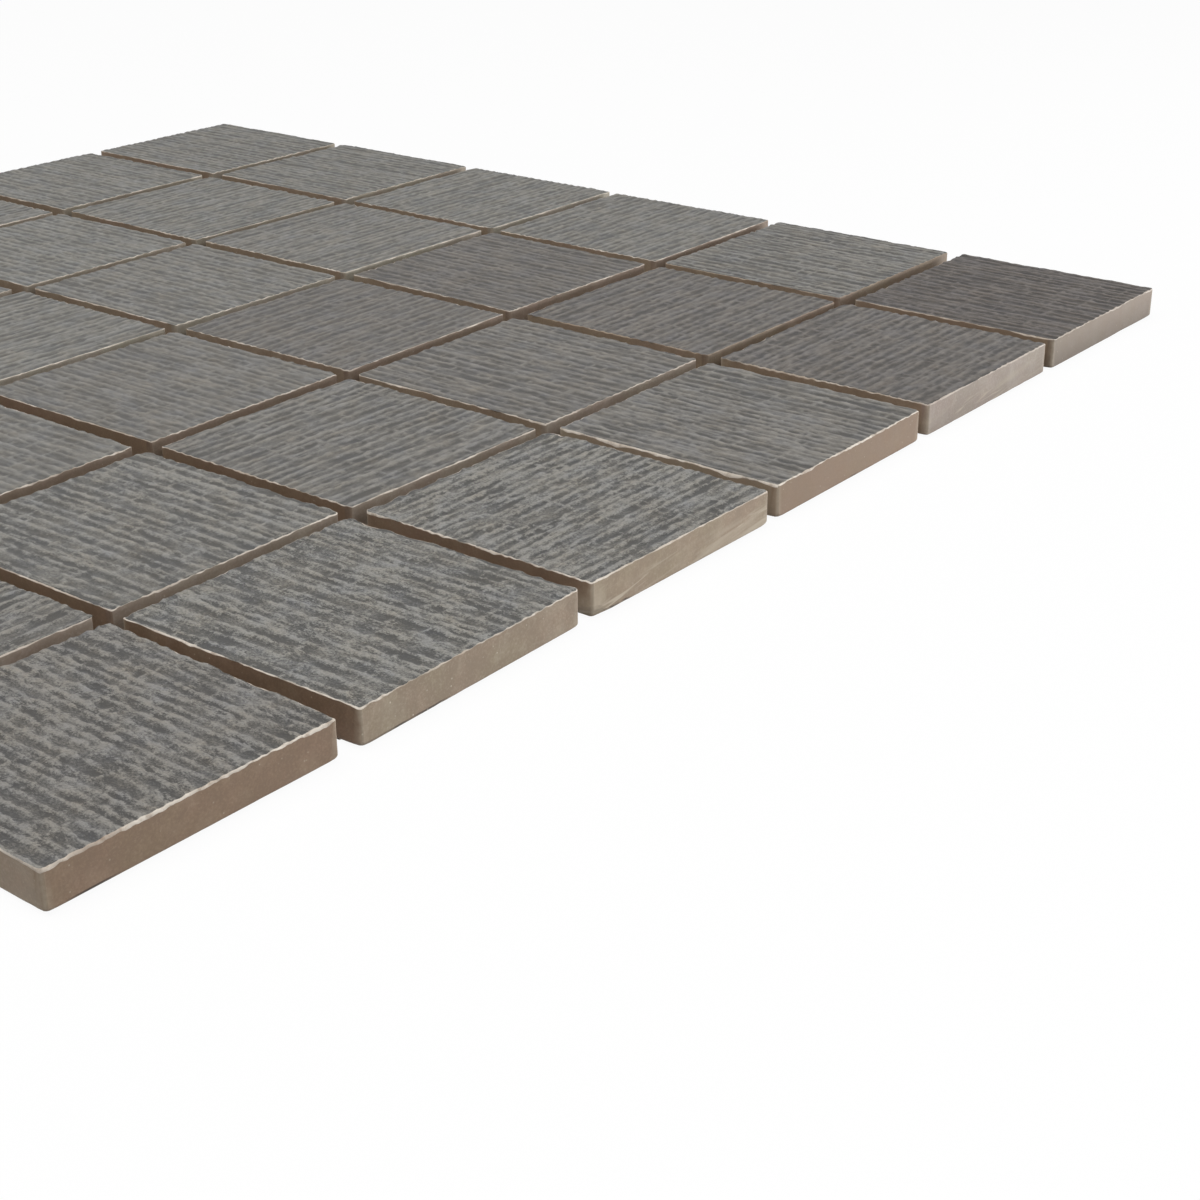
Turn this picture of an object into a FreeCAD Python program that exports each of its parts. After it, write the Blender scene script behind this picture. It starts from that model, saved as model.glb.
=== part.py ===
import FreeCAD, Part
import math
import os
import random

# A mosaic tile sheet: square porcelain tiles, sawn from a larger ribbed tile and glued face up
# on a glass-fibre net. X runs along the near edge, Y across the sheet and Z up.
# The origin is the middle of the sheet's outline, on the surface that it lies on.
# All sizes are in millimetres and all angles in degrees.

# The sheet
tiles_per_side = 6
tile_side = 47.0
tile_thickness = 6.0
joint_width = 3.0

# How exactly the tiles are set by hand: the most that one is off its place, and turned
lay_play = 0.35
lay_turn = 0.6
lay_seed = 7

# The tiles that show well enough to be measured, by row and column: how far each of them is off
# its place along X and along Y, and its turn
lay_seen = {
    (1, 1): (0.0, 0.3, -0.9),
    (1, 2): (-0.15, -0.25, 0.8),
    (1, 3): (0.15, -0.15, -0.2),
    (1, 4): (-0.25, -0.15, 0.15),
    (1, 5): (0.25, 0.05, 0.0),
    (1, 6): (0.0, -0.35, -0.3),
    (2, 1): (0.3, -0.1, 0.2),
    (2, 2): (0.1, -0.25, 0.35),
    (2, 3): (0.05, -0.25, -0.3),
    (2, 4): (-0.25, 0.0, 0.3),
    (2, 5): (0.0, -0.35, -0.2),
    (2, 6): (-0.35, 0.1, -0.3),
    (3, 2): (-0.05, 0.35, 0.25),
    (3, 3): (0.35, 0.05, 0.55),
    (3, 4): (0.0, 0.2, 0.7),
    (3, 5): (-0.25, 0.5, -0.7),
}

# The edges of one tile: worn corners, a bevel at the back, and a sharp sawn edge at the glaze
corner_radius = 0.6
back_bevel = 0.7

# The pressed back: shallow grooves with sloping sides that run across the whole tile
groove_count = 4
groove_pitch = 10.0
groove_width = 4.0
groove_depth = 0.35
groove_slope = 60.0

# The net: flat yarns in two layers, which cross and are glued together
yarn_pitch = 5.0
yarn_width = 0.8
yarn_flat = 0.5
yarn_thickness = 0.2
net_inset = 4.0

# What follows from the sizes above
tile_pitch = tile_side + joint_width
sheet_side = tiles_per_side * tile_side + (tiles_per_side - 1) * joint_width
net_side = sheet_side - 2 * net_inset
net_thickness = 2 * yarn_thickness
yarn_count = int((net_side - yarn_width) / yarn_pitch) + 1

along_x = FreeCAD.Vector(1, 0, 0)
along_y = FreeCAD.Vector(0, 1, 0)
upward = FreeCAD.Vector(0, 0, 1)
origin = FreeCAD.Vector(0, 0, 0)


def centred_places(count, pitch):
    """Places of a row of equal things about zero."""
    return [(k - (count - 1) / 2) * pitch for k in range(count)]


def prism(points, direction, length):
    """A straight bar: a closed outline, pushed along a direction."""
    outline = Part.makePolygon(points + points[:1])
    return Part.Face(outline).extrude(direction * length)


def rounded_square(side, height):
    """The outline of a tile at one height, with its worn corners."""
    half = side / 2
    straight = half - corner_radius
    nick = corner_radius * math.cos(math.radians(45))
    edges = []
    for quarter in range(4):
        start = FreeCAD.Vector(half, -straight, height)
        end = FreeCAD.Vector(half, straight, height)
        middle = FreeCAD.Vector(straight + nick, straight + nick, height)
        next_start = FreeCAD.Vector(straight, half, height)
        for edge in (Part.LineSegment(start, end), Part.Arc(end, middle, next_start)):
            shape = edge.toShape()
            shape.rotate(origin, upward, 90 * quarter)
            edges.append(shape)
    return Part.Wire(edges)


def tile_blank():
    """The sawn square with its worn corners and its bevelled back, standing on its back."""
    outlines = [
        rounded_square(tile_side - 2 * back_bevel, 0),
        rounded_square(tile_side, back_bevel),
        rounded_square(tile_side, tile_thickness),
    ]
    return Part.makeLoft(outlines, True, True)


def back_groove(place):
    """One groove of the pressed back, wider at its mouth than at its floor."""
    mouth = groove_width / 2
    floor = mouth - groove_depth / math.tan(math.radians(groove_slope))
    start = -tile_side
    section = [
        FreeCAD.Vector(place - mouth, start, 0),
        FreeCAD.Vector(place + mouth, start, 0),
        FreeCAD.Vector(place + floor, start, groove_depth),
        FreeCAD.Vector(place - floor, start, groove_depth),
    ]
    return prism(section, along_y, 2 * tile_side)


def make_tile():
    """One tile, its back at zero height and its middle on the Z axis."""
    tile = tile_blank()
    for place in centred_places(groove_count, groove_pitch):
        tile = tile.cut(back_groove(place))
    return tile


def lay_of(hand, row, column):
    """How far one tile is off its place along X and along Y, and its turn."""
    shift_x = hand.uniform(-lay_play, lay_play)
    shift_y = hand.uniform(-lay_play, lay_play)
    turn = hand.uniform(-lay_turn, lay_turn)
    return lay_seen.get((row, column), (shift_x, shift_y, turn))


def lay_tiles():
    """Every tile of the sheet in its place, as a dictionary of node name to solid."""
    hand = random.Random(lay_seed)
    pattern = make_tile()
    laid = {}
    places = centred_places(tiles_per_side, tile_pitch)
    for row, y in enumerate(places, start=1):
        for column, x in enumerate(places, start=1):
            shift_x, shift_y, turn = lay_of(hand, row, column)
            tile = pattern.copy()
            tile.rotate(origin, upward, turn)
            tile.translate(FreeCAD.Vector(x + shift_x, y + shift_y, net_thickness))
            laid[f"tile_row{row}_col{column}"] = tile
    return centre_on_origin(laid)


def centre_on_origin(laid):
    """Moves all the tiles together, so that the outline of the sheet is centred on the origin."""
    outline = Part.makeCompound(list(laid.values())).BoundBox
    offset = FreeCAD.Vector(-outline.Center.x, -outline.Center.y, 0)
    for tile in laid.values():
        tile.translate(offset)
    return laid


def yarn_layer(run, side, base):
    """One layer of the net: equal flat yarns with bevelled edges, as solids that don't touch."""
    yarns = []
    for place in centred_places(yarn_count, yarn_pitch):
        middle = side * place - run * (net_side / 2) + upward * (base + yarn_thickness / 2)
        flat = side * (yarn_flat / 2)
        edge = side * (yarn_width / 2)
        rise = upward * (yarn_thickness / 2)
        section = [
            middle - edge,
            middle - flat - rise,
            middle + flat - rise,
            middle + edge,
            middle + flat + rise,
            middle - flat + rise,
        ]
        yarns.append(prism(section, run, net_side))
    return Part.makeCompound(yarns)


def make_net():
    """The warp yarns are glued to the tile backs, across their grooves, with the weft under them."""
    return {
        "net_weft_yarns": yarn_layer(along_y, along_x, 0),
        "net_warp_yarns": yarn_layer(along_x, along_y, yarn_thickness),
    }


os.makedirs("parts", exist_ok=True)
nodes = {**make_net(), **lay_tiles()}
for name, shape in nodes.items():
    shape.exportStep(f"parts/{name}.step")
print(len(nodes), "nodes, sheet side", round(sheet_side, 1), "and", yarn_count, "yarns each way")
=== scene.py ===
import math
import bpy
import numpy as np
from mathutils import Matrix, Vector


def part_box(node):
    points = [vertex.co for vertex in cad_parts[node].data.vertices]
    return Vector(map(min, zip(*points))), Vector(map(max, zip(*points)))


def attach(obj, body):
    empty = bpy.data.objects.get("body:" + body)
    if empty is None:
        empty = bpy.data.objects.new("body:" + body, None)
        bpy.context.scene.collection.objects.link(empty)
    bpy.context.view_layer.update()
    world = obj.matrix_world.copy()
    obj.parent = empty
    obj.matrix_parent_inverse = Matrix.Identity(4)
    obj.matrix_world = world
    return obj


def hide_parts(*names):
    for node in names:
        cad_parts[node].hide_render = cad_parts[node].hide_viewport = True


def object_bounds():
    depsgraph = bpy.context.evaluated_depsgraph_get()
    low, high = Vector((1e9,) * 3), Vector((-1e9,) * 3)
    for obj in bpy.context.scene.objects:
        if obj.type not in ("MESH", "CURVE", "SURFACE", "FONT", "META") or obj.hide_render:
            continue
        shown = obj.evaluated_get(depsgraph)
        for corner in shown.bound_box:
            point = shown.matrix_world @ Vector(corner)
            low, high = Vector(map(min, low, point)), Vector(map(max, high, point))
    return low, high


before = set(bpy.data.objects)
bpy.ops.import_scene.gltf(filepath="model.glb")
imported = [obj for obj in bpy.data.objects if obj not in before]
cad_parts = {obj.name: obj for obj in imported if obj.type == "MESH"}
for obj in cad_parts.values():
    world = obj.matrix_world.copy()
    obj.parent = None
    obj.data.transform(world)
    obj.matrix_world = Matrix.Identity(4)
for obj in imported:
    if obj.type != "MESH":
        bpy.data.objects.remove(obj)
cadLow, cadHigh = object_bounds()
print("frame loaded:", len(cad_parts), "nodes")

mm = 0.001  # the meshes below are worked out in millimetres

# The camera stands low, in front of the sheet and to its left, and looks across it
cameraLook = {
    "place": (-0.26329, -0.32001, 0.13036),
    "heading": 38.34,      # degrees from +X towards +Y
    "tilt": -24.74,
    "roll": -0.47,
    "lens": 60.76,         # millimetres
    "sensor": 36.0,
}


def placeCamera():
    data = bpy.data.cameras.new("camera")
    data.lens = cameraLook["lens"]
    data.sensor_width = cameraLook["sensor"]
    data.clip_start = 0.01
    data.clip_end = 20
    cam = bpy.data.objects.new("camera", data)
    bpy.context.scene.collection.objects.link(cam)
    turn = Matrix.Rotation(math.radians(cameraLook["heading"] - 90), 4, "Z")
    lift = Matrix.Rotation(math.radians(cameraLook["tilt"] + 90), 4, "X")
    roll = Matrix.Rotation(math.radians(cameraLook["roll"]), 4, "Z")
    cam.matrix_world = Matrix.Translation(Vector(cameraLook["place"])) @ turn @ lift @ roll
    bpy.context.scene.camera = cam


# Small helpers for node trees

def newMaterial(name):
    material = bpy.data.materials.new(name)
    material.use_nodes = True
    tree = material.node_tree
    return material, tree, tree.nodes["Principled BSDF"]


def addNode(tree, kind, settings=None, inputs=None):
    node = tree.nodes.new(kind)
    for key, value in (settings or {}).items():
        setattr(node, key, value)
    for key, value in (inputs or {}).items():
        if isinstance(value, bpy.types.NodeSocket):
            tree.links.new(value, node.inputs[key])
        else:
            node.inputs[key].default_value = value
    return node


def calc(tree, operation, a, b=0.0, c=0.0, clamp=False):
    settings = {"operation": operation, "use_clamp": clamp}
    return addNode(tree, "ShaderNodeMath", settings, {0: a, 1: b, 2: c}).outputs[0]


def blendColour(tree, share, a, b, way="MIX"):
    node = addNode(tree, "ShaderNodeMix", {"data_type": "RGBA", "blend_type": way})
    for key, value in ((0, share), (6, a), (7, b)):
        if isinstance(value, bpy.types.NodeSocket):
            tree.links.new(value, node.inputs[key])
        else:
            node.inputs[key].default_value = value
    return node.outputs[2]


def noise(tree, coords, scale, detail=3.0, rough=0.5, distortion=0.0):
    inputs = {"Vector": coords, "Scale": scale, "Detail": detail}
    inputs.update({"Roughness": rough, "Distortion": distortion})
    return addNode(tree, "ShaderNodeTexNoise", {}, inputs).outputs["Fac"]


def carried(tree, name, output="Fac"):
    # a value that the mesh carries at its points
    return addNode(tree, "ShaderNodeAttribute", {"attribute_name": name}).outputs[output]


def objectCoords(tree):
    return addNode(tree, "ShaderNodeTexCoord").outputs["Object"]


def stretched(tree, coords, scale):
    return addNode(tree, "ShaderNodeMapping", {}, {"Vector": coords, "Scale": scale}).outputs[0]


def spread(tree, value, low, high, newLow=0.0, newHigh=1.0):
    inputs = {"Value": value, "From Min": low, "From Max": high, "To Min": newLow, "To Max": newHigh}
    return addNode(tree, "ShaderNodeMapRange", {"clamp": True}, inputs).outputs[0]


def finishShader(tree, shader, colour, roughness, strength, distance, height):
    # the last three are the bump's: its strength, its depth in metres and its pattern
    inputs = {"Strength": strength, "Distance": distance, "Height": height}
    bump = addNode(tree, "ShaderNodeBump", {}, inputs)
    tree.links.new(colour, shader.inputs["Base Color"])
    tree.links.new(roughness, shader.inputs["Roughness"])
    tree.links.new(bump.outputs[0], shader.inputs["Normal"])


def fromScreen(red, green, blue):
    # a colour read off a screen, 0 to 255, as the linear values that Blender mixes
    def linear(value):
        share = value / 255
        return share / 12.92 if share <= 0.04045 else ((share + 0.055) / 1.055) ** 2.4
    return (linear(red), linear(green), linear(blue), 1.0)


# The glaze: a printed and pressed linen pattern, pale threads over a slate ground.
# The ground is half worn in places, and a fine grain lies over all of it.
glazeLook = {
    "dark": fromScreen(69, 68, 66),
    "pale": fromScreen(152, 150, 144),
    "worn": fromScreen(192, 185, 174),
    "edgeStart": -0.32,            # of the weave value, where the edge of a thread starts
    "edgeEnd": 0.26,               # and where it ends
    "ragged": 1.5,                 # how far the fine grain moves the edges of the threads
    "groundTone": (0.0, 0.44),     # 0 is dark and 1 is pale
    "threadTone": 0.84,
    "grain": 3.8,
    "coolTint": (0.95, 0.98, 1.06, 1.0),
    "warmTint": (1.05, 1.0, 0.93, 1.0),
    "roughness": (0.56, 0.74),
    "shine": 0.35,
    "grainBump": 0.00005,          # metres
    # how many times each pattern changes in a millimetre, across the threads and along them,
    # and how much it differs from tile to tile
    "fibre": (3.4, 2.0, 1.0),      # breaks up the edges of the threads
    "grit": (3.0, 1.7, 2.0),       # the fine grain
    "patch": (1.0, 0.42, 1.0),     # paler and darker stretches of thread
    "slow": (0.3, 0.12, 3.0),      # and of ground
    "cloud": (0.20, 0.13, 1.0),    # warmer and cooler areas
    "hue": (0.9, 0.5, 3.0),
}


def makeGlaze():
    look = glazeLook
    material, tree, shader = newMaterial("linenGlaze")
    weave, grain = carried(tree, "weave"), carried(tree, "grain", "Vector")
    contrast, fine = carried(tree, "contrast"), carried(tree, "fine")
    fibre = noise(tree, stretched(tree, grain, look["fibre"]), 1.0, 3.0, 0.75)
    grit = noise(tree, stretched(tree, grain, look["grit"]), 1.0, 3.0, 0.8)
    patch = noise(tree, stretched(tree, grain, look["patch"]), 1.0, 2.0, 0.6)
    slow = noise(tree, stretched(tree, grain, look["slow"]), 1.0, 1.0)
    grit = calc(tree, "MULTIPLY", calc(tree, "SUBTRACT", grit, 0.5), fine)
    patch = calc(tree, "SUBTRACT", patch, 0.5)
    patch = calc(tree, "MULTIPLY", patch, calc(tree, "MULTIPLY_ADD", fine, -0.6, 1.6))

    # the threads, with ragged edges where the grain is strong and soft ones where it is weak
    ragged = calc(tree, "MULTIPLY", calc(tree, "SUBTRACT", fibre, 0.5), fine)
    edge = calc(tree, "MULTIPLY_ADD", ragged, look["ragged"], weave)
    sharp = calc(tree, "MULTIPLY_ADD", fine, 0.5, 0.5, clamp=True)
    edge = calc(tree, "MULTIPLY", edge, sharp)
    settings = {"interpolation_type": "SMOOTHSTEP"}
    inputs = {"Value": edge, "From Min": look["edgeStart"], "From Max": look["edgeEnd"]}
    thread = addNode(tree, "ShaderNodeMapRange", settings, inputs).outputs[0]

    # the tone of the ground and of the threads over it
    ground = calc(tree, "MULTIPLY_ADD", slow, 0.8, calc(tree, "MULTIPLY", patch, 0.5))
    ground = spread(tree, ground, 0.31, 0.6, *look["groundTone"])
    strength = calc(tree, "MULTIPLY", calc(tree, "ADD", ground, 0.25), look["grain"])
    ground = calc(tree, "MULTIPLY_ADD", grit, strength, ground)
    top = calc(tree, "MULTIPLY_ADD", grit, look["grain"] * 0.5, look["threadTone"])
    top = calc(tree, "MULTIPLY_ADD", patch, 0.9, top)
    rise = calc(tree, "SUBTRACT", top, ground)
    tone = calc(tree, "MULTIPLY_ADD", rise, thread, ground, clamp=True)
    tone = calc(tree, "MULTIPLY_ADD", calc(tree, "SUBTRACT", tone, 0.45), contrast, 0.45)
    colour = blendColour(tree, tone, look["dark"], look["pale"])

    # cooler and warmer areas, the tile's own shade, and its worn edge
    cloud = noise(tree, stretched(tree, grain, look["cloud"]), 1.0, 3.0, 0.55)
    hue = noise(tree, stretched(tree, grain, look["hue"]), 1.0, 3.0, 0.6)
    hue = spread(tree, hue, 0.35, 0.6)
    cool = calc(tree, "MULTIPLY", spread(tree, cloud, 0.48, 0.7), hue)
    warm = calc(tree, "MULTIPLY", spread(tree, cloud, 0.56, 0.3), hue)
    colour = blendColour(tree, cool, colour, look["coolTint"], "MULTIPLY")
    colour = blendColour(tree, warm, colour, look["warmTint"], "MULTIPLY")
    colour = blendColour(tree, 1.0, colour, carried(tree, "shade", "Color"), "MULTIPLY")
    worn = calc(tree, "ADD", carried(tree, "worn"), calc(tree, "SUBTRACT", fibre, 0.5))
    colour = blendColour(tree, spread(tree, worn, 0.35, 0.75), colour, look["worn"])

    roughness = spread(tree, grit, -0.2, 0.2, *look["roughness"])
    height = calc(tree, "MULTIPLY_ADD", grit, 1.6, thread)
    finishShader(tree, shader, colour, roughness, 0.7, look["grainBump"], height)
    shader.inputs["Specular IOR Level"].default_value = look["shine"]
    return material


# The fired body on the sawn sides and the back, and the pale line at the glaze
bodyLook = {
    "rosy": fromScreen(168, 148, 129),
    "olive": fromScreen(164, 149, 127),
    "deep": fromScreen(150, 133, 114),
    "smear": fromScreen(200, 187, 167),
    "speck": fromScreen(226, 218, 200),
    "line": fromScreen(224, 214, 201),
    "jointShade": (0.66, 0.56, 0.495, 1.0),     # painted shade that darkens the walls between the tiles
    "footShadeColour": (0.55, 0.53, 0.50, 1.0),       # and painted shade on the foot of some walls
    "streakSlope": 0.1,
    "smearTop": (4.2, 2.4),                # millimetres above the foot where smears start and are full
    "roughness": (0.55, 0.72),
    "sawBump": 0.00004,                    # metres
    # how many times each pattern changes in a metre
    "mottle": 420.0,
    "fine": 2400.0,
    "blotch": 160.0,
    "drift": 95.0,
    "specks": 900.0,
    "speckGroups": 330.0,
    "lineBreaks": 500.0,
}


def bodyColour(tree, coords):
    # taupe with a fine mottle, a slow drift between two hues, and a few pale grains
    look = bodyLook
    mottled = carried(tree, "mottled")

    def calmed(value):
        return calc(tree, "MULTIPLY_ADD", calc(tree, "SUBTRACT", value, 0.5), mottled, 0.5)

    def shift(colour, value, start, full, most, other):
        return blendColour(tree, spread(tree, value, start, full, 0.0, most), colour, look[other])
    mottle = noise(tree, coords, look["mottle"], 4.0, 0.6)
    fine = calmed(noise(tree, coords, look["fine"], 3.0, 0.7))
    blotch = calmed(noise(tree, coords, look["blotch"], 3.0, 0.6, 0.4))
    drift = calmed(noise(tree, coords, look["drift"], 2.0, 0.5))
    colour = blendColour(tree, spread(tree, drift, 0.4, 0.6), look["olive"], look["rosy"])
    colour = shift(colour, calmed(mottle), 0.62, 0.35, 0.7, "deep")
    colour = shift(colour, fine, 0.52, 0.35, 0.55, "deep")
    colour = shift(colour, fine, 0.52, 0.72, 0.35, "smear")
    colour = shift(colour, blotch, 0.5, 0.3, 0.5, "deep")
    colour = shift(colour, blotch, 0.5, 0.72, 0.3, "smear")
    # painted light and shade on the near side, and painted shadow along the bottom edge
    colour = blendColour(tree, 1.0, colour, carried(tree, "paintedLightAndShadow", "Color"), "MULTIPLY")
    inputs = {"Vector": coords, "Scale": look["specks"]}
    specks = addNode(tree, "ShaderNodeTexVoronoi", {}, inputs).outputs["Distance"]
    groups = noise(tree, coords, look["speckGroups"], 1.0)
    specks = calc(tree, "MULTIPLY", spread(tree, specks, 0.15, 0.07), spread(tree, groups, 0.5, 0.58))
    specks = calc(tree, "MULTIPLY", specks, carried(tree, "speckled"))
    colour = blendColour(tree, calc(tree, "MULTIPLY", specks, 0.85), colour, look["speck"])
    return colour, mottle


def claySmears(tree, part):
    # paler clay was folded into some tiles: slanted streaks low on the wall
    look = bodyLook
    slanted = calc(tree, "MULTIPLY", part[1], -1.0)
    slanted = calc(tree, "MULTIPLY_ADD", part[0], look["streakSlope"], slanted)
    place = addNode(tree, "ShaderNodeCombineXYZ", {}, {0: part[0], 1: slanted, 2: part[2]}).outputs[0]
    streak = noise(tree, stretched(tree, place, (0.05, 0.6, 1.0)), 1.0, 3.0, 0.5, 0.35)
    fold = noise(tree, stretched(tree, place, (0.055, 0.75, 1.0)), 1.0, 2.0, 0.5, 0.4)
    fold = spread(tree, calc(tree, "ABSOLUTE", calc(tree, "SUBTRACT", fold, 0.5)), 0.05, 0.0)
    where = noise(tree, stretched(tree, place, (0.07, 0.3, 1.0)), 1.0, 1.0)
    fold = calc(tree, "MULTIPLY", fold, spread(tree, where, 0.5, 0.62))
    streak = calc(tree, "MAXIMUM", spread(tree, streak, 0.5, 0.72, 0.0, 0.6), fold)
    low = spread(tree, part[1], *look["smearTop"])
    return calc(tree, "MULTIPLY", calc(tree, "MULTIPLY", streak, low), part[2])


def makeBody():
    look = bodyLook
    material, tree, shader = newMaterial("sawnPorcelain")
    colour, mottle = bodyColour(tree, objectCoords(tree))
    # the wall carries the place along it, the height above its foot and how much it is smeared
    wall = carried(tree, "wall", "Vector")
    part = addNode(tree, "ShaderNodeSeparateXYZ", {}, {0: wall}).outputs
    colour = blendColour(tree, claySmears(tree, part), colour, look["smear"])
    # painted shade on the walls between the tiles
    colour = blendColour(tree, carried(tree, "jointShade"), colour, look["jointShade"], "MULTIPLY")
    # painted shade, darker towards the foot of some walls
    footShade = calc(tree, "MULTIPLY", carried(tree, "footShade"), spread(tree, part[1], 5.0, 0.0))
    colour = blendColour(tree, footShade, colour, look["footShadeColour"], "MULTIPLY")
    # paler upright corners: painted highlight, and paler fracture where the foot is chipped
    rubbedAndHighlit = spread(tree, mottle, 0.3, 0.65, 0.3, 0.8)
    rubbedAndHighlit = calc(tree, "MULTIPLY", carried(tree, "rubbedAndHighlit"), rubbedAndHighlit)
    colour = blendColour(tree, rubbedAndHighlit, colour, look["smear"])
    saw = noise(tree, stretched(tree, wall, (0.08, 2.4, 1.0)), 1.0, 3.0, 0.6)
    height = calc(tree, "ADD", calc(tree, "MULTIPLY", saw, 0.9), calc(tree, "MULTIPLY", mottle, 0.5))
    roughness = spread(tree, mottle, 0.3, 0.7, *look["roughness"])
    finishShader(tree, shader, colour, roughness, 0.5, look["sawBump"], height)
    return material


def makeLine():
    look = bodyLook
    material, tree, shader = newMaterial("engobeLine")
    coords = objectCoords(tree)
    colour, mottle = bodyColour(tree, coords)
    broken = noise(tree, coords, look["lineBreaks"], 4.0, 0.65)
    # painted shade on the line where it runs between the tiles
    colour = blendColour(tree, carried(tree, "jointShade"), colour, look["jointShade"], "MULTIPLY")
    paleness = calc(tree, "MULTIPLY", spread(tree, broken, 0.34, 0.52, 0.3, 1.0), carried(tree, "rim"))
    colour = blendColour(tree, paleness, colour, look["line"])
    roughness = spread(tree, mottle, 0.3, 0.7, *look["roughness"])
    finishShader(tree, shader, colour, roughness, 0.5, look["sawBump"], broken)
    return material


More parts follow.
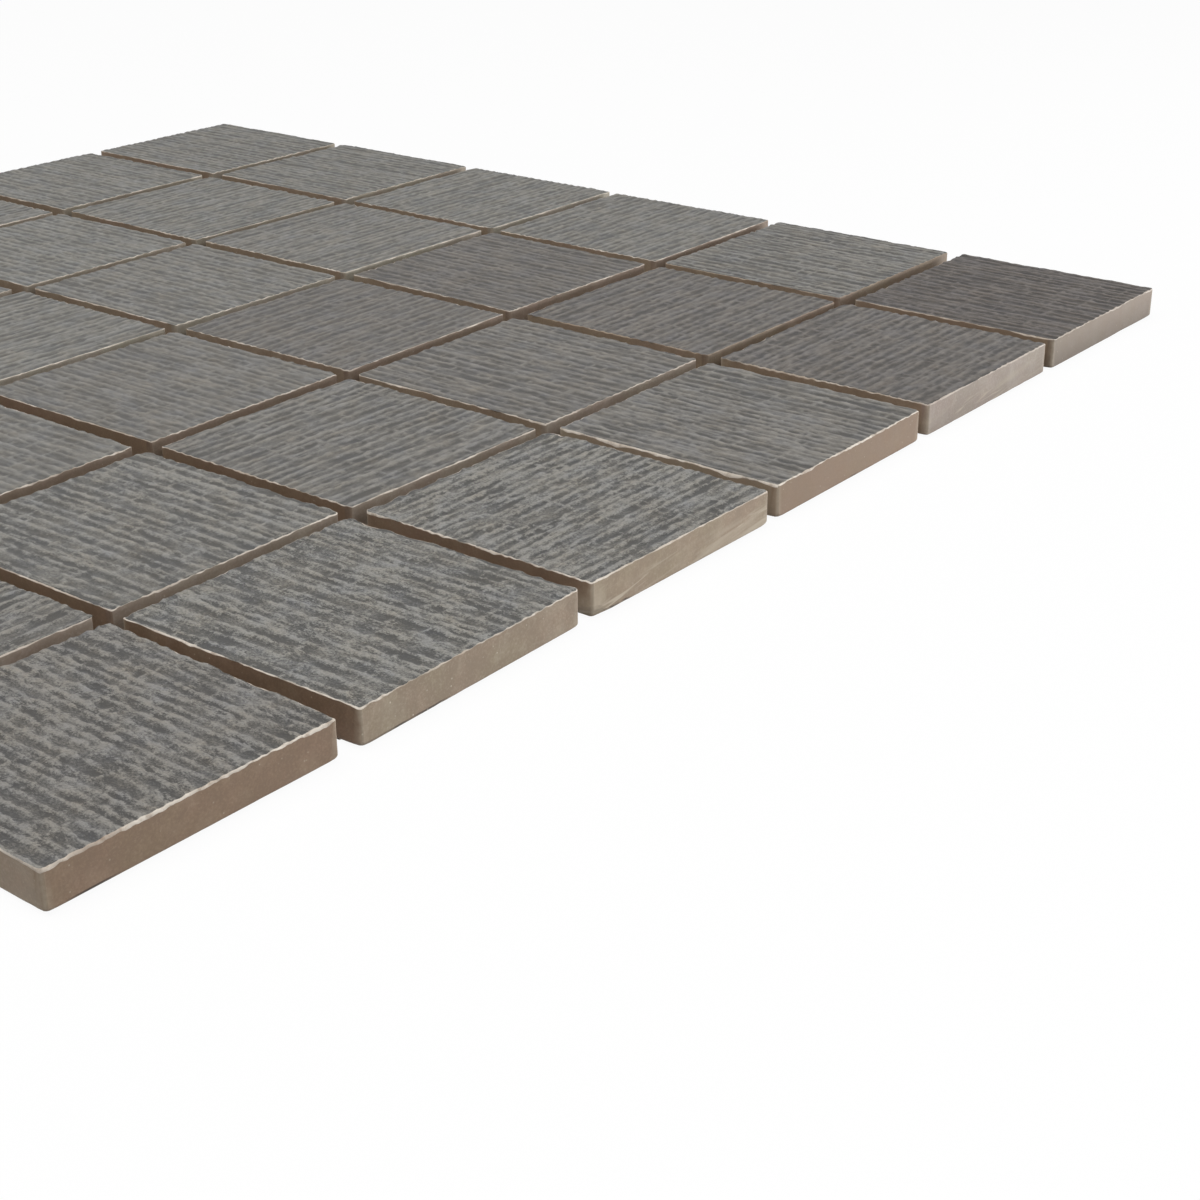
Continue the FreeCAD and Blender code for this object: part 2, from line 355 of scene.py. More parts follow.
# The tiles. Sizes are in millimetres.
tileLook = {
    # rows 1 to 6, each from column 1 to column 6: the pressed threads run along X or along Y
    "grain": ["YYXYXY", "XYXYXY", "YYYXYX", "XYXYXX", "YXYYXY", "XYXXYY"],
    "steps": (0.38, 0.52),         # between mesh lines, across the threads and along them
    "farSteps": (0.42, 0.60),      # and the same from row 4 on
    "edgeSteps": (0.0, 0.12, 0.28, 0.48),
    "footStep": 1.1,               # between mesh lines at the foot of the wall
    "relief": 0.25,                # from the deepest place between threads to the top
    "lift": 0.15,                  # how far the highest threads stand above the plain tile
    "edgeSink": (0.4, 0.02),       # how far the edge of the glaze sinks: a share of its wander, and at least
    "wave": 0.2,                   # how far the sawn edge of the glaze wanders in and out
    "farWander": 0.5,              # of that on the far and right outsides of the sheet
    "slant": 0.6,                  # how far the line under the glaze leans back, against its height
    "corner": 0.6,
    "bevel": 0.7,
    "footChip": 0.48,              # small chips of the bottom edge are up to a quarter of this deep
    "footCorner": 0.12,            # how much of each bottom corner is worn off
    "farCornerHighlight": 0.25,                # how strong the painted highlight on the upright corners is from row 2 on, against row 1
    "jointShadeNear": (0.0, 1.0, 0.93, 0.0, 0.6, 0.65),    # painted shade on the walls along Y between the tiles, by column, in row 1
    "jointShadeFar": (0.0, 1.1, 0.95, 0.4, 0.5, 0.5),      # and in the others
    "shadeSpread": 0.05,           # how much lighter or darker than the rest a tile's glaze may be

    # the pattern that is pressed into the glaze
    "threads": {
        "pitch": 2.25,
        "width": 0.38,           # half the width of a raised thread
        "crossPitch": 3.2,       # of the thin threads that cross them
        "crossWidth": 0.28,
        "patches": 0.18,         # how much wide patches raise or lower the pattern
        "grain": (0.25, 0.32),   # and small ones: on every tile, and more where the fine grain is strong
    },

    # the pressed back, as the tile's own source has it
    "back": {"count": 4, "pitch": 10.0, "width": 4.0, "depth": 0.35, "slope": 60.0},

    # what a tile has where neither its row nor the tile itself has another
    "plain": {
        "line": (0.12, 0.6),     # height and paleness of the line under the glaze
        "leftLine": 0.0,         # how much higher it is on the left side
        "foot": 0.65,            # the share of the plain tile's bevel that the worn foot has
        "chipped": [],           # chips of the bottom edge: place round the tile, half length and height
        "shadowSlivers": [],           # painted shadow under the bottom edge: place and half length
        "smeared": 0.0,          # how much paler clay is folded into the wall
        "speckled": 0.3,         # how strong the pale grains are
        "mottled": 0.8,          # how uneven the body's colour is
        "footShade": 0.0,           # how strong the painted shade at the foot of the wall is
    },

    # what each row has, from row 1 to row 6
    "rows": {
        "contrast": (0.95, 0.78, 0.68, 0.68, 0.68, 0.68),    # how strong the pattern is
        "fine": (0.7, 0.45, 0.25, 0.25, 0.25, 0.25),         # how strong the fine grain is
        "nearPaintedLight": (            # painted light and shade on the near side
            (1.0, 1.0, 1.0), (0.93, 0.97, 1.08), (0.72, 0.69, 0.72),
            (1.05, 1.2, 1.35), (1.0, 1.1, 1.2), (1.0, 1.1, 1.2),
        ),
    },

    # what single tiles have, by row and column, with the shade of their glaze
    "own": {
        (1, 1): {
            "shade": 0.90, "contrast": 0.97, "fine": 1.25, "nearPaintedLight": (0.80, 0.71, 0.66), "mottled": 1.0,
            "line": (0.26, 0.85), "shadowSlivers": [(7.0, 3.2)],
        },
        (1, 2): {
            "shade": 1.01, "contrast": 0.96, "fine": 1.4, "mottled": 1.1, "speckled": 1.0,
            "line": (0.15, 0.8), "shadowSlivers": [(7.5, 1.8), (13.5, 3.2)],
        },
        (1, 3): {
            "shade": 0.98, "contrast": 0.96, "fine": 1.1, "nearPaintedLight": (1.06, 1.05, 1.04), "smeared": 1.5,
            "line": (0.14, 0.85), "leftLine": 0.5, "chipped": [(0.0, 4.2, 0.8)],
            "shadowSlivers": [(5.2, 0.9), (8.2, 0.9)],
        },
        (1, 4): {
            "shade": 0.90, "contrast": 0.82, "fine": 0.35, "nearPaintedLight": (0.87, 0.79, 0.76), "mottled": 0.4,
            "line": (0.18, 0.95), "leftLine": 1.2,
        },
        (1, 5): {
            "shade": 0.69, "contrast": 0.80, "fine": 0.2, "nearPaintedLight": (1.03, 1.09, 1.27), "smeared": 0.8,
            "footShade": 0.55, "line": (0.16, 0.4), "foot": 0.2,
        },
        (1, 6): {
            "shade": 0.56, "contrast": 0.82, "fine": 0.4, "nearPaintedLight": (0.76, 0.78, 0.85), "mottled": 0.4,
            "footShade": 1.0, "line": (0.16, 0.35), "foot": 0.2,
        },
        (2, 1): {"shade": 0.93, "contrast": 0.92, "fine": 1.0, "line": (0.10, 0.5)},
        (2, 2): {"shade": 0.99, "contrast": 0.86, "fine": 0.85, "line": (0.14, 0.65)},
        (2, 3): {"shade": 0.92, "speckled": 0.8},
        (2, 4): {"shade": 0.86, "contrast": 0.74, "fine": 0.25, "leftLine": 0.5},
        (2, 5): {
            "shade": 0.73, "contrast": 0.74, "fine": 0.2, "nearPaintedLight": (0.70, 0.67, 0.67),
            "line": (0.12, 0.05), "chipped": [(30.0, 3.0, 0.7)],
        },
        (2, 6): {"nearPaintedLight": (0.70, 0.67, 0.67), "line": (0.12, 0.05)},
        (3, 1): {"smeared": 0.6},
        (3, 3): {"shade": 0.92, "contrast": 0.62},
        (3, 4): {"shade": 0.80, "contrast": 0.62},
        (3, 5): {"shade": 0.76},
        (4, 5): {"speckled": 0.9},
        (4, 6): {"smeared": 0.8},
        (6, 2): {"smeared": 0.7},
    },
}


def lookOf(row, column):
    look = tileLook
    byRow = {key: values[row - 1] for key, values in look["rows"].items()}
    return {**look["plain"], **byRow, **look["own"].get((row, column), {})}


def smoothStep(share):
    return share * share * (3 - 2 * share)


def lineNoise(rng, places, spacing):
    # random heights every so often along a line, joined smoothly
    start = (places - places.min()) / spacing + rng.random()
    cell = np.floor(start).astype(int)
    knots = rng.random(cell.max() + 2)
    share = smoothStep(start - cell)
    return knots[cell] * (1 - share) + knots[cell + 1] * share


def patchNoise(rng, across, along, acrossSpacing, alongSpacing):
    # the same over a sheet: one value for each pair of places
    def cells(places, spacing):
        start = (places - places.min()) / spacing + rng.random()
        cell = np.floor(start).astype(int)
        return cell, smoothStep(start - cell)
    i, a = cells(across, acrossSpacing)
    j, b = cells(along, alongSpacing)
    knots = rng.random((i.max() + 2, j.max() + 2))
    a, b = a[:, None], b[None, :]
    near = knots[np.ix_(i, j)] * (1 - a) + knots[np.ix_(i + 1, j)] * a
    far = knots[np.ix_(i, j + 1)] * (1 - a) + knots[np.ix_(i + 1, j + 1)] * a
    return near * (1 - b) + far * b


def weaveOf(rng, across, along, fine):
    # the pressed pattern: above 0 on a thread and below it on the ground, in millimetres from its edge
    look = tileLook["threads"]
    weave = np.full((len(across), len(along)), -1.6)

    def raiseAcross(path, width, crest):
        away = np.abs(across[:, None] - path)
        return np.maximum(weave, np.minimum(width - away, crest))
    centre = across.min() - rng.random() * look["pitch"]
    while centre < across.max() + look["pitch"]:
        sway = centre + 0.5 * (lineNoise(rng, along, 13.0) - 0.5)
        path = sway + 0.5 * (lineNoise(rng, along, 1.9) - 0.5)
        width = look["width"] * rng.uniform(0.8, 1.15) * (0.6 + 0.7 * lineNoise(rng, along, 6.0))
        width = width + 0.35 * (lineNoise(rng, along, 1.5) - 0.5)
        crest = rng.uniform(0.1, 0.3) + 0.5 * (lineNoise(rng, along, 4.0) - 0.35)
        weave = raiseAcross(path, width, crest)
        # a thin one runs beside it for a stretch
        path = sway + rng.choice((-1, 1)) * rng.uniform(0.7, 1.1) + 0.4 * (lineNoise(rng, along, 2.5) - 0.5)
        width = 0.9 * (lineNoise(rng, along, 5.0) - 0.68)
        weave = raiseAcross(path, width, 0.02)
        centre += look["pitch"] * rng.uniform(0.75, 1.25)
    centre = along.min() - rng.random() * look["crossPitch"]
    while centre < along.max():
        path = centre + 0.4 * (lineNoise(rng, across, 5.0) - 0.5)
        width = look["crossWidth"] * np.clip(4.0 * lineNoise(rng, across, 2.0) - 2.6, -3, 1.0)
        away = np.abs(along[None, :] - path[:, None])
        weave = np.maximum(weave, np.minimum(width[:, None] - away, 0.1))
        centre += look["crossPitch"] * rng.uniform(0.2, 1.3)
    weave = weave + look["patches"] * (patchNoise(rng, across, along, 6.0, 9.0) - 0.5)
    always, withGrain = look["grain"]
    strength = always + withGrain * min(fine, 1.2)
    return weave + strength * (patchNoise(rng, across, along, 0.5, 0.9) - 0.5)


def roundCorner(x, y, half, radius):
    # takes the outline of a square to one with worn corners, and keeps what is inside it in order
    ax = np.clip((np.abs(x) - (half - radius)) / radius, 0, None)
    ay = np.clip((np.abs(y) - (half - radius)) / radius, 0, None)
    length = np.hypot(ax, ay)
    inCorner = (ax > 0) & (ay > 0)
    share = np.where(inCorner, np.maximum(ax, ay) / np.where(length > 0, length, 1), 1.0)
    newX = np.where(inCorner, np.sign(x) * (half - radius + ax * share * radius), x)
    newY = np.where(inCorner, np.sign(y) * (half - radius + ay * share * radius), y)
    return newX, newY


def marks(half, step):
    # places of mesh lines from edge to edge, closer together at both edges
    near = np.array(tileLook["edgeSteps"])
    inner = half - near[-1] - step
    count = int(round(2 * inner / step)) + 1
    middle = np.linspace(-inner, inner, count)
    return np.concatenate([near - half, middle, (half - near)[::-1]])


def ringOf(nx, ny):
    # indices round the outside of a grid, anticlockwise from its first corner
    pairs = [(i, 0) for i in range(nx - 1)]
    pairs += [(nx - 1, j) for j in range(ny - 1)]
    pairs += [(i, ny - 1) for i in range(nx - 1, 0, -1)]
    pairs += [(0, j) for j in range(ny - 1, 0, -1)]
    return tuple(np.array(pairs).T)


def aroundSquare(x, y, half):
    # how far round the square's outline a point of it lies, from 0 to 4
    onRight = (x >= half - 1e-6) & (y > -half + 1e-6)
    onTop = (y >= half - 1e-6) & (x < half - 1e-6)
    onLeft = (x <= -half + 1e-6) & (y < half - 1e-6) & (y > -half + 1e-6)
    result = (x / half + 1) / 2
    result = np.where(onRight, 1 + (y / half + 1) / 2, result)
    result = np.where(onTop, 2 + (1 - x / half) / 2, result)
    result = np.where(onLeft, 3 + (1 - y / half) / 2, result)
    return result


def ringNoise(rng, run, length, spacing):
    # random heights round a closed ring, joined smoothly
    count = max(4, int(round(length / spacing)))
    knots = rng.random(count)
    start = run / length * count
    cell = np.floor(start).astype(int)
    share = smoothStep(start - cell)
    return knots[cell % count] * (1 - share) + knots[(cell + 1) % count] * share


def gridFaces(index):
    # quads between the points of a grid, anticlockwise as seen from the side where x runs right and y up
    corners = [index[:-1, :-1], index[1:, :-1], index[1:, 1:], index[:-1, 1:]]
    return [tuple(quad) for quad in np.stack(corners, -1).reshape(-1, 4).tolist()]


def zipRings(upper, upperPlace, lower, lowerPlace):
    # triangles between two closed rings with different numbers of points
    faces = []
    i = j = 0
    n, m = len(upper), len(lower)
    while i < n or j < m:
        nextUpper = upperPlace[i + 1] if i + 1 < n else 4 if i < n else 9
        nextLower = lowerPlace[j + 1] if j + 1 < m else 4 if j < m else 9
        if nextUpper <= nextLower:
            faces.append((upper[i % n], lower[j % m], upper[(i + 1) % n]))
            i += 1
        else:
            faces.append((upper[i % n], lower[j % m], lower[(j + 1) % m]))
            j += 1
    return faces


class MeshDraft:
    # points and faces, gathered before the mesh is made
    def __init__(self):
        self.points, self.faces, self.slots, self.smooth = [], [], [], []
        self.count = 0

    def addPoints(self, points):
        start = self.count
        self.points.append(np.asarray(points, float).reshape(-1, 3))
        self.count += len(self.points[-1])
        return list(range(start, self.count))

    def addGrid(self, x, y, z):
        return np.array(self.addPoints(np.stack([x, y, z], -1))).reshape(x.shape)

    def addFaces(self, faces, slot, smooth):
        self.faces += faces
        self.slots += [slot] * len(faces)
        self.smooth += [smooth] * len(faces)

    def addBand(self, upper, lower, slot, smooth):
        n = len(upper)
        faces = [(upper[k], lower[k], lower[(k + 1) % n], upper[(k + 1) % n]) for k in range(n)]
        self.addFaces(faces, slot, smooth)

    def lay(self, middle, turn):
        # from the tile's own middle to its place on the sheet
        c, s = math.cos(turn), math.sin(turn)
        for block in self.points:
            x, y = block[:, 0].copy(), block[:, 1].copy()
            block[:, 0] = middle[0] + x * c - y * s
            block[:, 1] = middle[1] + x * s + y * c

    def toObject(self, name, materials, values=None):
        mesh = bpy.data.meshes.new(name)
        points = np.concatenate(self.points) * mm
        mesh.from_pydata(points.tolist(), [], self.faces)
        for material in materials:
            mesh.materials.append(material)
        mesh.polygons.foreach_set("material_index", self.slots)
        mesh.polygons.foreach_set("use_smooth", self.smooth)
        for key, carriedValues in (values or {}).items():
            carriedValues = np.asarray(carriedValues, np.float32)
            kind, field = ("FLOAT_VECTOR", "vector") if carriedValues.ndim == 2 else ("FLOAT", "value")
            attribute = mesh.attributes.new(key, kind, "POINT")
            attribute.data.foreach_set(field, carriedValues.ravel())
        mesh.update()
        piece = bpy.data.objects.new(name, mesh)
        bpy.context.scene.collection.objects.link(piece)
        return piece


def layOf(node):
    # where a tile of the frame lies: its middle, its turn, its height range and half its side
    low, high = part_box(node)
    middle = np.array([(low.x + high.x) / 2, (low.y + high.y) / 2])
    places = np.array([v.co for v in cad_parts[node].data.vertices])
    top = places[places[:, 2] > high.z - 1e-6][:, :2] - middle
    turn = np.angle(-np.sum((top[:, 0] + 1j * top[:, 1]) ** 4)) / 4
    turned = (top[:, 0] + 1j * top[:, 1]) * np.exp(-1j * turn)
    return middle / mm, turn, low.z / mm, high.z / mm, turned.real.max() / mm


class TilePlan:
    # one tile's place and mesh lines, which the functions below share, about its own middle
    def __init__(self, row, column):
        look = tileLook
        self.row, self.column = row, column
        self.own = lookOf(row, column)
        self.middle, self.turn, self.base, self.top, self.half = layOf(f"tile_row{row}_col{column}")
        self.side = 2 * self.half
        self.rng = np.random.default_rng(100 * row + column)
        self.alongX = look["grain"][row - 1][column - 1] == "X"
        fine, coarse = (marks(self.half, step) for step in look["steps" if row < 4 else "farSteps"])
        self.xs, self.ys = (coarse, fine) if self.alongX else (fine, coarse)
        weave = weaveOf(self.rng, fine, coarse, self.own["fine"])
        self.weave = weave.T if self.alongX else weave
        self.gridX, self.gridY = np.meshgrid(self.xs, self.ys, indexing="ij")
        self.outside = np.minimum(self.half - np.abs(self.gridX), self.half - np.abs(self.gridY))
        self.ring = ringOf(len(self.xs), len(self.ys))

    def roundNoise(self, run, spacing):
        return ringNoise(self.rng, run, 4 * self.side, spacing)


def bitten(tile, places):
    # how far the sawn edge of the glaze lies inside the outline: it wanders, and has small bites
    look, rng = tileLook, tile.rng
    slow, quick = lineNoise(rng, places, 4.6), lineNoise(rng, places, 1.2)
    bites = np.clip(lineNoise(rng, places, 2.6) - 0.8, 0, 1)
    wander = look["wave"] * (1.3 * (slow - 0.4) + 1.7 * (quick - 0.5))
    return look["slant"] * tile.own["line"][0] + wander + bites


def fade(distance, reach):
    return np.clip(1 - distance / reach, 0, 1) ** 2


def addGlaze(draft, tile):
    # the glazed face, with its threads in relief
    look, half, gridX, gridY = tileLook, tile.half, tile.gridX, tile.gridY
    left, right = bitten(tile, tile.ys), bitten(tile, tile.ys)
    front, back = bitten(tile, tile.xs), bitten(tile, tile.xs)
    right = right * (look["farWander"] if tile.column == 6 else 1.0)
    back = back * (look["farWander"] if tile.row == 6 else 1.0)

    def pulls(reach):
        # how much each of the four edges moves each point: less, the further it lies from the edge
        return (
            fade(half + gridX, reach) * left[None, :], fade(half - gridX, reach) * right[None, :],
            fade(half + gridY, reach) * front[:, None], fade(half - gridY, reach) * back[:, None],
        )
    inLeft, inRight, inFront, inBack = pulls(1.6)
    topX, topY = roundCorner(gridX, gridY, half, look["corner"])
    topX, topY = topX + (inLeft - inRight), topY + (inFront - inBack)
    shareSunk, leastSunk = look["edgeSink"]
    sink = shareSunk * sum(pulls(0.9)) + leastSunk * fade(tile.outside, 0.35)
    height = smoothStep(np.clip((tile.weave + 0.7) / 1.1, 0, 1))
    relief = look["relief"] * (0.65 + 0.35 * np.clip(tile.outside / 1.2, 0, 1))
    topZ = tile.top + look["lift"] - relief * (1 - height) - np.clip(sink, 0, 0.8)
    index = draft.addGrid(topX, topY, topZ)
    draft.addFaces(gridFaces(index), 0, True)
    return index, topZ


def addLine(draft, tile, index, topZ):
    # the pale line between the glaze and the wall, higher in some places than in others
    i, j = tile.ring
    edgeX, edgeY = tile.gridX[i, j], tile.gridY[i, j]
    x, y = roundCorner(edgeX, edgeY, tile.half, tileLook["corner"])
    around = aroundSquare(edgeX, edgeY, tile.half)
    run = around * tile.side
    drop = 0.3 + 1.5 * tile.roundNoise(run, 5.0) ** 2 + 0.5 * tile.roundNoise(run, 1.1)
    drop = drop * (1 + tile.own["leftLine"] * (edgeX < 1e-6 - tile.half))
    wallTop = draft.addPoints(np.stack([x, y, topZ[i, j] - tile.own["line"][0] * drop], -1))
    draft.addBand(index[i, j].tolist(), wallTop, 1, True)
    return wallTop, around


def backMarks(half):
    # mesh lines across the back: its worn corners and the edges of each groove's mouth and floor
    look = tileLook["back"]
    inner = half - tileLook["bevel"]
    mouth = look["width"] / 2
    floor = mouth - look["depth"] / math.tan(math.radians(look["slope"]))
    places, depths = [], []
    for k in range(look["count"]):
        middle = (k - (look["count"] - 1) / 2) * look["pitch"]
        places += [middle - mouth, middle - floor, middle + floor, middle + mouth]
        depths += [0, look["depth"], look["depth"], 0]
    corner = [-inner, -inner + 0.2, -inner + 0.42, -inner + tileLook["corner"]]
    xs = np.array(corner + places + [-c for c in corner[::-1]])
    depths = np.array([0] * 4 + depths + [0] * 4)
    ys = np.array(corner + [-inner / 3, inner / 3] + [-c for c in corner[::-1]])
    return xs, depths, ys


def addBack(draft, tile):
    # the back with its grooves, which run out at both ends
    xs, depths, ys = backMarks(tile.half)
    inner = tile.half - tileLook["bevel"]
    gridX, gridY = np.meshgrid(xs, ys, indexing="ij")
    rise = np.repeat(depths[:, None], len(ys), axis=1)
    x, y = roundCorner(gridX, gridY, inner, tileLook["corner"])
    y = np.where(np.abs(gridY) > inner - 1e-6, y + np.sign(gridY) * rise, y)
    index = draft.addGrid(x, y, tile.base + rise)
    draft.addFaces([(a, d, c, b) for a, b, c, d in gridFaces(index)], 2, False)
    i, j = ringOf(len(xs), len(ys))
    return index[i, j].tolist(), aroundSquare(gridX[i, j], gridY[i, j], inner)


def footWear(tile, run, around):
    # how deep the bottom edge is chipped, how it waves, and where painted shadow lies under it
    side = tile.side
    chip = np.clip(tile.roundNoise(run, 2.6) - 0.74, 0, 1) * tileLook["footChip"]
    toCorner = np.minimum(run % side, side - run % side)
    cornerWear = np.repeat(tile.rng.uniform(0.4, 1.2, 4), 2)[np.minimum(around * 2, 7.9).astype(int)]
    chip = chip + tileLook["footCorner"] * cornerWear * np.exp(-(toCorner / 1.1) ** 2)
    for place, reach, tall in tile.own["chipped"]:
        away = (run - place + 2 * side) % (4 * side) - 2 * side
        rough = 0.8 + 0.4 * tile.roundNoise(run, 1.7)
        chip = chip + tall * np.clip(1 - (away / reach) ** 2, 0, 1) * rough
    wave = tile.roundNoise(run, 1.6) - 0.5
    # where painted shadow lies under the bottom edge
    dark = np.clip(5 * (tile.roundNoise(run, 6.0) - 0.86), 0, 1)
    for place, reach in tile.own["shadowSlivers"]:
        dark = np.maximum(dark, np.clip(1.6 - 1.2 * np.abs(run - place) / reach, 0, 1))
    return chip, wave, dark


def addFoot(draft, tile, wallTop, wallAround, sole, soleAround):
    # the wall, and the worn bevel under it in four loops from the back up
    look, half = tileLook, tile.half
    edge = marks(half, look["footStep"])
    i, j = ringOf(len(edge), len(edge))
    around = aroundSquare(edge[i], edge[j], half)
    chip, wave, dark = footWear(tile, around * tile.side, around)
    x, y = roundCorner(edge[i], edge[j], half, look["corner"])
    foot = tile.own["foot"]
    loops = []
    # painted shadow under the bottom edge, and paler chipped places
    paintedUnderShadow, broken = np.zeros(draft.count), np.zeros(draft.count)
    for share, bulge in ((0.35, 0.16), (0.7, 0.12), (1.0, 0.0), (1.4, 0.0)):
        reach = half - look["bevel"] * (foot * max(0.0, 1 - share)) + bulge * foot
        reach = reach - 0.8 * np.minimum(chip, 0.9) * max(0.0, 1.2 - share)
        z = tile.base + foot * (look["bevel"] * share - 0.6 * bulge) + 0.05 * wave * share
        z = z + chip * share ** 1.3
        loops.append(draft.addPoints(np.stack([x * reach / half, y * reach / half, z], -1)))
        paintedUnderShadow = np.append(paintedUnderShadow, dark * (share < 1.1))
        broken = np.append(broken, np.clip(1.8 * (chip - 0.1), 0, 1))
    draft.addFaces(zipRings(wallTop, wallAround, loops[3], around), 2, False)
    draft.addBand(loops[3], loops[2], 2, False)
    draft.addBand(loops[2], loops[1], 2, True)
    draft.addBand(loops[1], loops[0], 2, True)
    draft.addFaces(zipRings(loops[0], around, sole, soleAround), 2, True)
    return paintedUnderShadow, broken


def tileValues(draft, tile, index, wallTop, paintedUnderShadow, broken):
    # what the points carry for the materials
    look, own, rng, half = tileLook, tile.own, tile.rng, tile.half
    places = np.concatenate(draft.points)
    count, onTop = len(places), index.size
    paleness = own["line"][1]
    weave, worn, rim, jointShade = np.full(count, 0.4), np.zeros(count), np.zeros(count), np.zeros(count)
    weave[:onTop] = tile.weave.ravel()
    patchy = 0.45 + 1.1 * patchNoise(rng, tile.xs, tile.ys, 4.0, 4.0)
    worn[:onTop] = (0.75 * paleness * np.clip(1 - tile.outside / 0.2, 0, 1) * patchy).ravel()
    rim[index[tile.ring]] = np.clip(paleness * patchy[tile.ring], 0, 1)
    rim[wallTop] = rim[index[tile.ring]]
    # the upright corners get a painted highlight and chipped places are paler, and the walls along Y get
    # painted shade between the tiles
    ax, ay = np.abs(places[:, 0]), np.abs(places[:, 1])
    rubbedAndHighlit = np.clip((np.minimum(ax, ay) / half - 0.965) / 0.03, 0, 1)
    rubbedAndHighlit = np.maximum(rubbedAndHighlit * (1.0 if tile.row == 1 else look["farCornerHighlight"]), broken)
    jointShade[ax > half - 0.3] = look["jointShadeNear" if tile.row == 1 else "jointShadeFar"][tile.column - 1]
    jointShade[:onTop] = 0.0
    # painted light and shade on the near side, with painted shadow under the bottom edge
    paintedLightAndShadow = np.where((places[:, 1] < 1.5 - half)[:, None], own["nearPaintedLight"], 1.0)
    # each tile has its own piece of the pattern and of the smears
    grain = places[:, 1::-1] if tile.alongX else places[:, :2]
    grain = grain + rng.uniform(-300, 300, 2)
    light = own.get("shade", 1 + look["shadeSpread"] * (rng.random() * 2 - 1))
    shade = (light, light ** 1.15, light ** 1.15)      # the darker ones are a little warmer
    alongWall = np.where(ax > ay, places[:, 1], places[:, 0]) + 50.0 * tile.column
    values = {
        "weave": weave,
        "worn": worn,
        "rim": rim,
        "rubbedAndHighlit": rubbedAndHighlit,
        "jointShade": jointShade,
        "paintedLightAndShadow": paintedLightAndShadow * (1 - 0.8 * paintedUnderShadow[:, None]),
        "grain": np.column_stack([grain, np.full(count, float(tile.row * 7 + tile.column))]),
        "shade": np.tile(shade, (count, 1)),
        "wall": np.column_stack([alongWall, places[:, 2] - tile.base, np.full(count, own["smeared"])]),
    }
    for key in ("contrast", "fine", "speckled", "mottled", "footShade"):
        values[key] = np.full(count, own[key])
    return values


def makeTile(row, column, materials):
    tile, draft = TilePlan(row, column), MeshDraft()
    index, topZ = addGlaze(draft, tile)
    wallTop, wallAround = addLine(draft, tile, index, topZ)
    sole, soleAround = addBack(draft, tile)
    paintedUnderShadow, broken = addFoot(draft, tile, wallTop, wallAround, sole, soleAround)
    values = tileValues(draft, tile, index, wallTop, paintedUnderShadow, broken)
    draft.lay(tile.middle, tile.turn)
    piece = draft.toObject(f"tileRow{row}Col{column}", materials, values)
    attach(piece, "root")
    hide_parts(f"tile_row{row}_col{column}")
    return len(draft.faces)


# The net under the tiles: flat weft yarns, and pairs of thin warp yarns twisted round them
netLook = {
    "pitch": 5.0,
    "weftWidth": 0.8,
    "weftHeight": 0.16,
    "weftRise": 0.02,        # how far the weft lies above the middle of its layer
    "weftSway": 0.06,
    "warpWidth": 0.4,
    "warpHeight": 0.2,
    "warpSpread": 0.2,       # each yarn of a pair lies this far off the pair's line at a crossing
    "warpRise": 0.09,        # and this far above or below the other layer's top
    "colour": fromScreen(222, 220, 210),
    "shadow": fromScreen(190, 187, 174),
    "strands": 2500.0,       # glass strands to a metre, about
    "strandBump": 0.00003,   # metres
    "roughness": 0.42,
}


def makeYarnMaterial():
    look = netLook
    material, tree, shader = newMaterial("glassYarn")
    strands = noise(tree, objectCoords(tree), look["strands"], 3.0, 0.6)
    colour = blendColour(tree, spread(tree, strands, 0.3, 0.7), look["shadow"], look["colour"])
    inputs = {"Strength": 0.5, "Distance": look["strandBump"], "Height": strands}
    bump = addNode(tree, "ShaderNodeBump", {}, inputs)
    tree.links.new(colour, shader.inputs["Base Color"])
    tree.links.new(bump.outputs[0], shader.inputs["Normal"])
    shader.inputs["Roughness"].default_value = look["roughness"]
    return material


def addYarn(draft, path, width, height, sides, alongX):
    # a closed yarn with a flat oval section along a path of (along, side, up) places
    angles = np.arange(sides) * 2 * math.pi / sides
    rings = []
    for along, side, up in path:
        a = side + np.cos(angles) * width / 2
        b = up + np.sin(angles) * height / 2
        run = np.full(sides, along)
        rings.append(draft.addPoints(np.stack([run, a, b] if alongX else [a, run, b], -1)))
    for one, two in zip(rings[:-1], rings[1:]):
        upper, lower = (one, two) if alongX else (two, one)
        draft.addBand(upper, lower, 0, True)
    first, last = tuple(rings[0]), tuple(rings[-1])
    ends = [first[::-1], last] if alongX else [first, last[::-1]]
    draft.addFaces(ends, 0, False)


def makeNet(material):
    look = netLook
    low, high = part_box("net_weft_yarns")
    count = int(round((high.x - low.x) / mm / look["pitch"]))
    start, end, level = low.y / mm, high.y / mm, high.z / mm
    lines = (np.arange(count + 1) - count / 2) * look["pitch"]
    rng = np.random.default_rng(7)
    weft, warp = MeshDraft(), MeshDraft()
    for place in lines:
        stops = np.linspace(start, end, 9)
        sway = look["weftSway"] * (lineNoise(rng, stops, 30.0) - 0.5)
        path = [(stop, place + shift, level / 2 + look["weftRise"]) for stop, shift in zip(stops, sway)]
        addYarn(weft, path, look["weftWidth"], look["weftHeight"], 6, False)
    for place in lines:
        for hand in (-1, 1):
            height = level + hand * look["warpRise"]
            path = [(start, place + hand * look["warpSpread"], height)]
            for k, stop in enumerate(lines):
                path.append((stop, place + hand * (-1) ** k * look["warpSpread"], height))
            path.append((end, place - hand * look["warpSpread"], height))
            addYarn(warp, path, look["warpWidth"], look["warpHeight"], 4, True)
    for draft, name, node in ((weft, "netWeft", "net_weft_yarns"), (warp, "netWarp", "net_warp_yarns")):
        piece = draft.toObject(name, [material])
        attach(piece, "root")
        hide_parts(node)
    return len(weft.faces) + len(warp.faces)


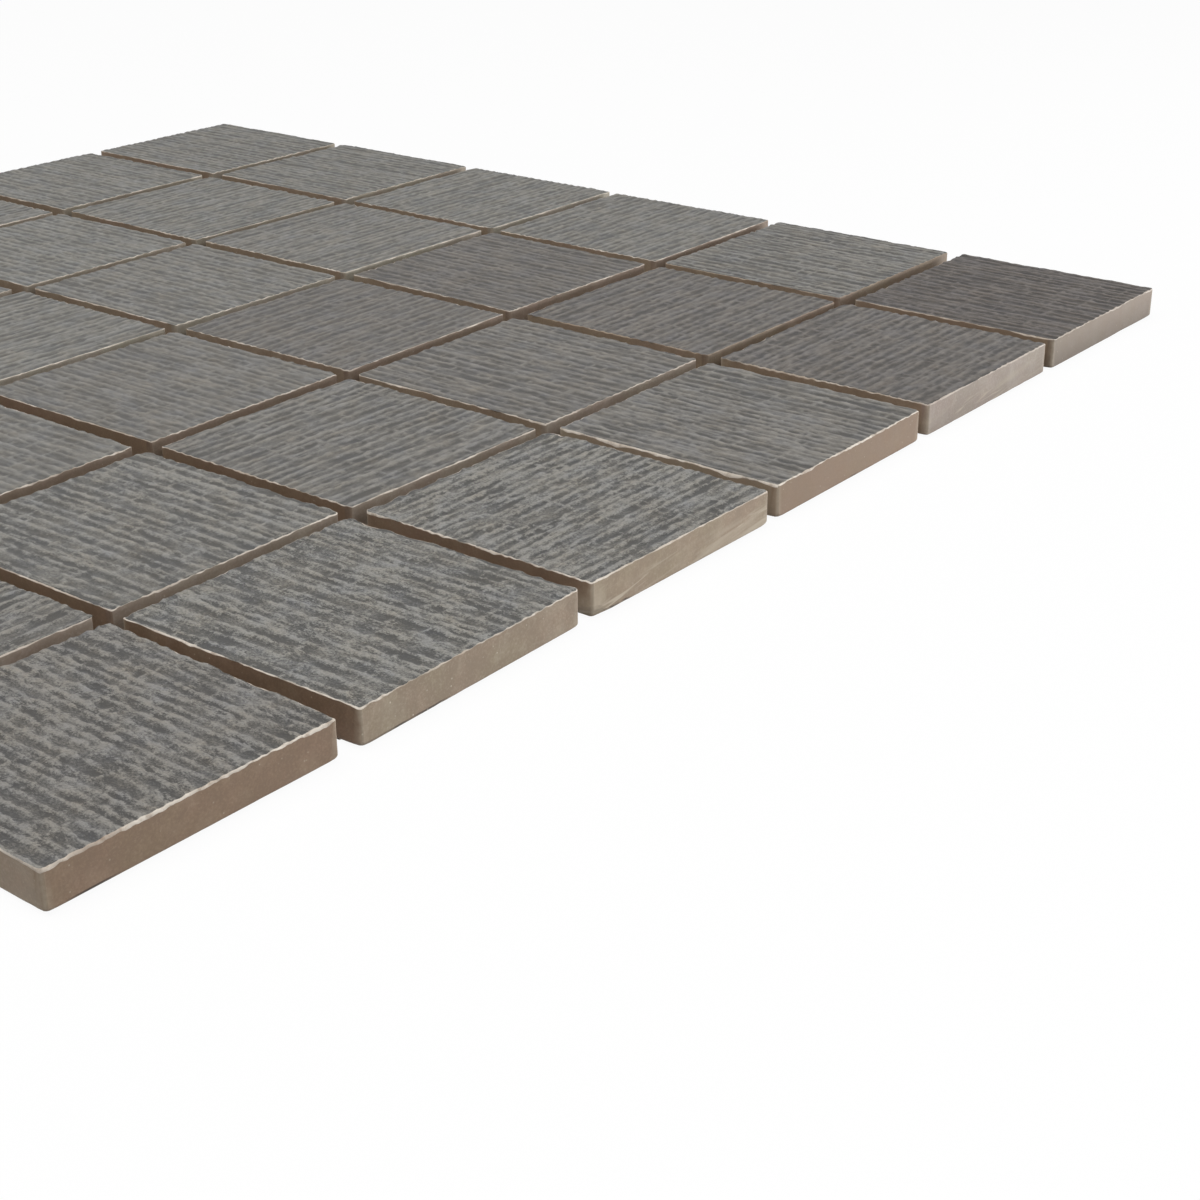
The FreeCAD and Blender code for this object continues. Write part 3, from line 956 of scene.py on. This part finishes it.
# The studio: a pale floor, a big soft lamp overhead, a small one in front, a low one at the right end
# and an even surround
studioLook = {
    "floorSize": 6.0,
    "floorDrop": 0.00005,    # how far the floor lies under the net
    "shadeInset": 0.010,     # how far inside the sheet's outline its shade starts
    "floorColour": (0.98, 0.98, 0.98, 1.0),
    "floorWhite": 0.94,      # share of plain white that the floor shows, the rest is lit and shaded
    "bounce": (0.32, 0.32, 0.32, 1.0),      # the floor's colour in the light that it throws back
    "surround": 0.2,
    "lamps": {
        "overhead": {"place": (-0.3, 0.0, 0.9), "aim": (-0.05, 0.0, 0.0), "size": (0.9, 0.9), "power": 7.0},
        "front": {"place": (0.0, -0.62, 0.36), "aim": (0.0, -0.1, 0.0), "size": (0.4, 0.2), "power": 0.85},
        "lowSide": {"place": (0.5, -0.42, 0.05), "aim": (0.0, -0.15, 0.0), "size": (0.3, 0.08), "power": 2.0},
    },
}


def seenDirectly(tree):
    # 1 for what the camera sees, straight, mirrored or through glass, and 0 for light on other things
    rays = addNode(tree, "ShaderNodeLightPath").outputs
    seen = calc(tree, "ADD", rays["Is Camera Ray"], rays["Is Glossy Ray"])
    return calc(tree, "ADD", seen, rays["Is Transmission Ray"], clamp=True)


def makeFloorMaterial(name, white):
    look = studioLook
    material, tree, shader = newMaterial(name)
    shader.inputs["Roughness"].default_value = 0.9
    shader.inputs["Specular IOR Level"].default_value = 0.0
    seen = seenDirectly(tree)
    colour = blendColour(tree, seen, look["bounce"], look["floorColour"])
    tree.links.new(colour, shader.inputs["Base Color"])
    share = calc(tree, "MULTIPLY", seen, white)
    glow = addNode(tree, "ShaderNodeEmission", {}, {"Color": (1, 1, 1, 1), "Strength": 1.0})
    mix = addNode(tree, "ShaderNodeMixShader", {}, {0: share, 1: shader.outputs[0], 2: glow.outputs[0]})
    tree.links.new(mix.outputs[0], tree.nodes["Material Output"].inputs["Surface"])
    return material


def makeFloor():
    # the middle of the floor lies under the sheet and shows its shade in the joints
    look = studioLook
    half, inset = look["floorSize"] / 2, look["shadeInset"]
    left, right = cadLow.x + inset, cadHigh.x - inset
    front, back = cadLow.y + inset, cadHigh.y - inset
    corners = [(-half, -half), (half, -half), (half, half), (-half, half)]
    corners += [(left, front), (right, front), (right, back), (left, back)]
    faces = [(4, 5, 6, 7), (0, 1, 5, 4), (1, 2, 6, 5), (2, 3, 7, 6), (3, 0, 4, 7)]
    mesh = bpy.data.meshes.new("floor")
    mesh.from_pydata([(x, y, 0) for x, y in corners], [], faces)
    mesh.materials.append(makeFloorMaterial("shadedFloor", 0.0))
    mesh.materials.append(makeFloorMaterial("paleFloor", look["floorWhite"]))
    mesh.polygons.foreach_set("material_index", [0, 1, 1, 1, 1])
    floor = bpy.data.objects.new("floor", mesh)
    floor.location.z = cadLow.z - look["floorDrop"]
    bpy.context.scene.collection.objects.link(floor)


def makeSurround():
    # white to look at, and weaker as a light
    weak = studioLook["surround"]
    world = bpy.data.worlds.new("surround")
    bpy.context.scene.world = world
    world.use_nodes = True
    tree = world.node_tree
    strength = calc(tree, "MULTIPLY_ADD", seenDirectly(tree), 1 - weak, weak)
    background = tree.nodes["Background"]
    background.inputs["Color"].default_value = (1, 1, 1, 1)
    tree.links.new(strength, background.inputs["Strength"])


def makeLamps():
    for name, lamp in studioLook["lamps"].items():
        data = bpy.data.lights.new(name, "AREA")
        data.shape = "RECTANGLE"
        data.size, data.size_y = lamp["size"]
        data.energy = lamp["power"]
        light = bpy.data.objects.new(name, data)
        light.location = lamp["place"]
        direction = Vector(lamp["aim"]) - Vector(lamp["place"])
        light.rotation_euler = direction.to_track_quat("-Z", "Y").to_euler()
        bpy.context.scene.collection.objects.link(light)


placeCamera()
makeFloor()
makeSurround()
makeLamps()
bpy.context.scene.view_settings.view_transform = "Standard"
print("camera, floor, surround and lamps placed")

tileMaterials = [makeGlaze(), makeLine(), makeBody()]
faceCount = 0
for row in range(1, 7):
    for column in range(1, 7):
        faceCount += makeTile(row, column, tileMaterials)
print("tiles made:", faceCount, "faces")
print("net made:", makeNet(makeYarnMaterial()), "faces")
